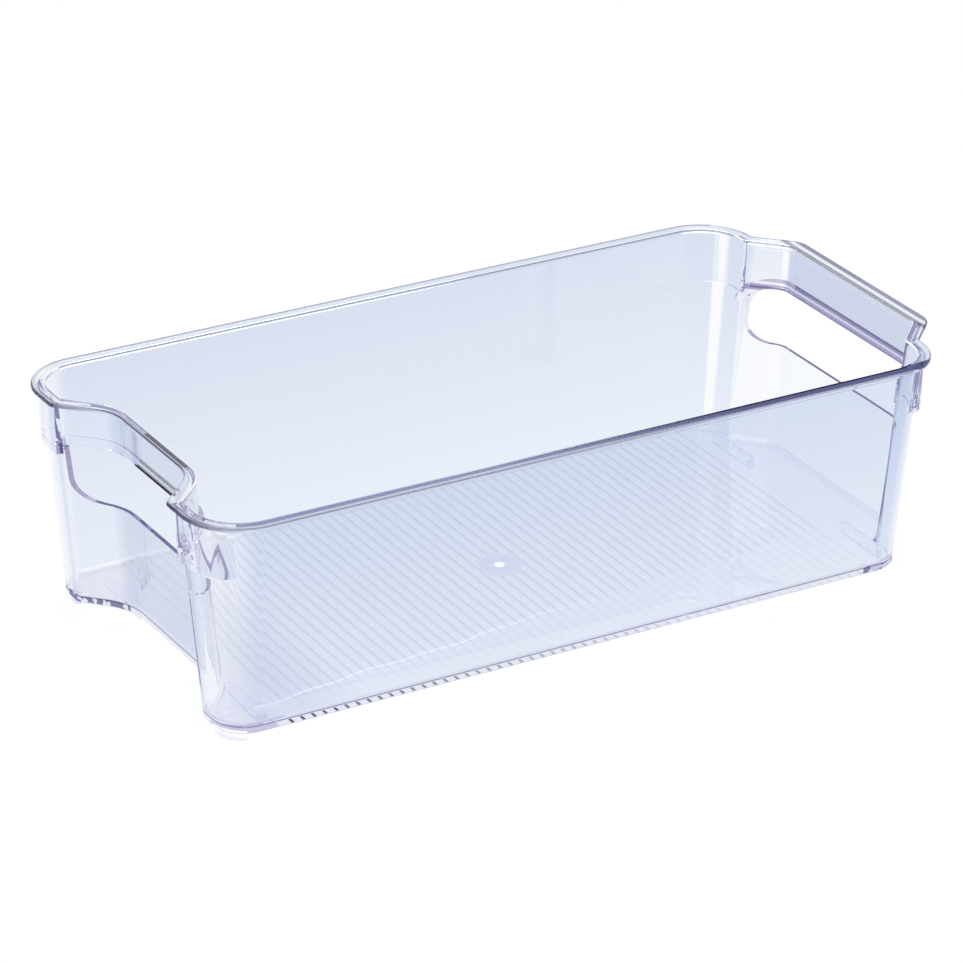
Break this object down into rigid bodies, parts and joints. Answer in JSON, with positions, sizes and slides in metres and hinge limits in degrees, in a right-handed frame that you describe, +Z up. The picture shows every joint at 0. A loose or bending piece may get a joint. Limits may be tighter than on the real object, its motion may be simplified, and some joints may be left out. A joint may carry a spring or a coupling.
{
  "type": "fridge drawer organizer",
  "caption": "Clear open storage bin with leaning walls, an outward rim, a hand hole in each end, one end set in and the other standing out, and feet below.",
  "frame": {"origin": "centre of the bounding box in plan, on the surface that the feet stand on", "axes": "+X along the length, towards the end that stands out; +Y towards the back long wall; +Z up"},
  "size_m": [0.323, 0.161, 0.089],
  "materials": {
    "clear_plastic": "clear, glossy, with a faint blue-violet cast at the edges"
  },
  "bodies": {
    "root": {"floor_panel": "clear_plastic", "front_wall": "clear_plastic", "back_wall": "clear_plastic", "left_front_corner": "clear_plastic", "left_back_corner": "clear_plastic", "right_front_corner": "clear_plastic", "right_back_corner": "clear_plastic", "left_end_wall": "clear_plastic", "right_end_wall": "clear_plastic", "left_grip": "clear_plastic", "right_grip": "clear_plastic", "left_front_foot": "clear_plastic", "left_back_foot": "clear_plastic", "right_front_foot": "clear_plastic", "right_back_foot": "clear_plastic", "left_front_corner_foot": "clear_plastic", "left_back_corner_foot": "clear_plastic"}
  },
  "joints": []
}
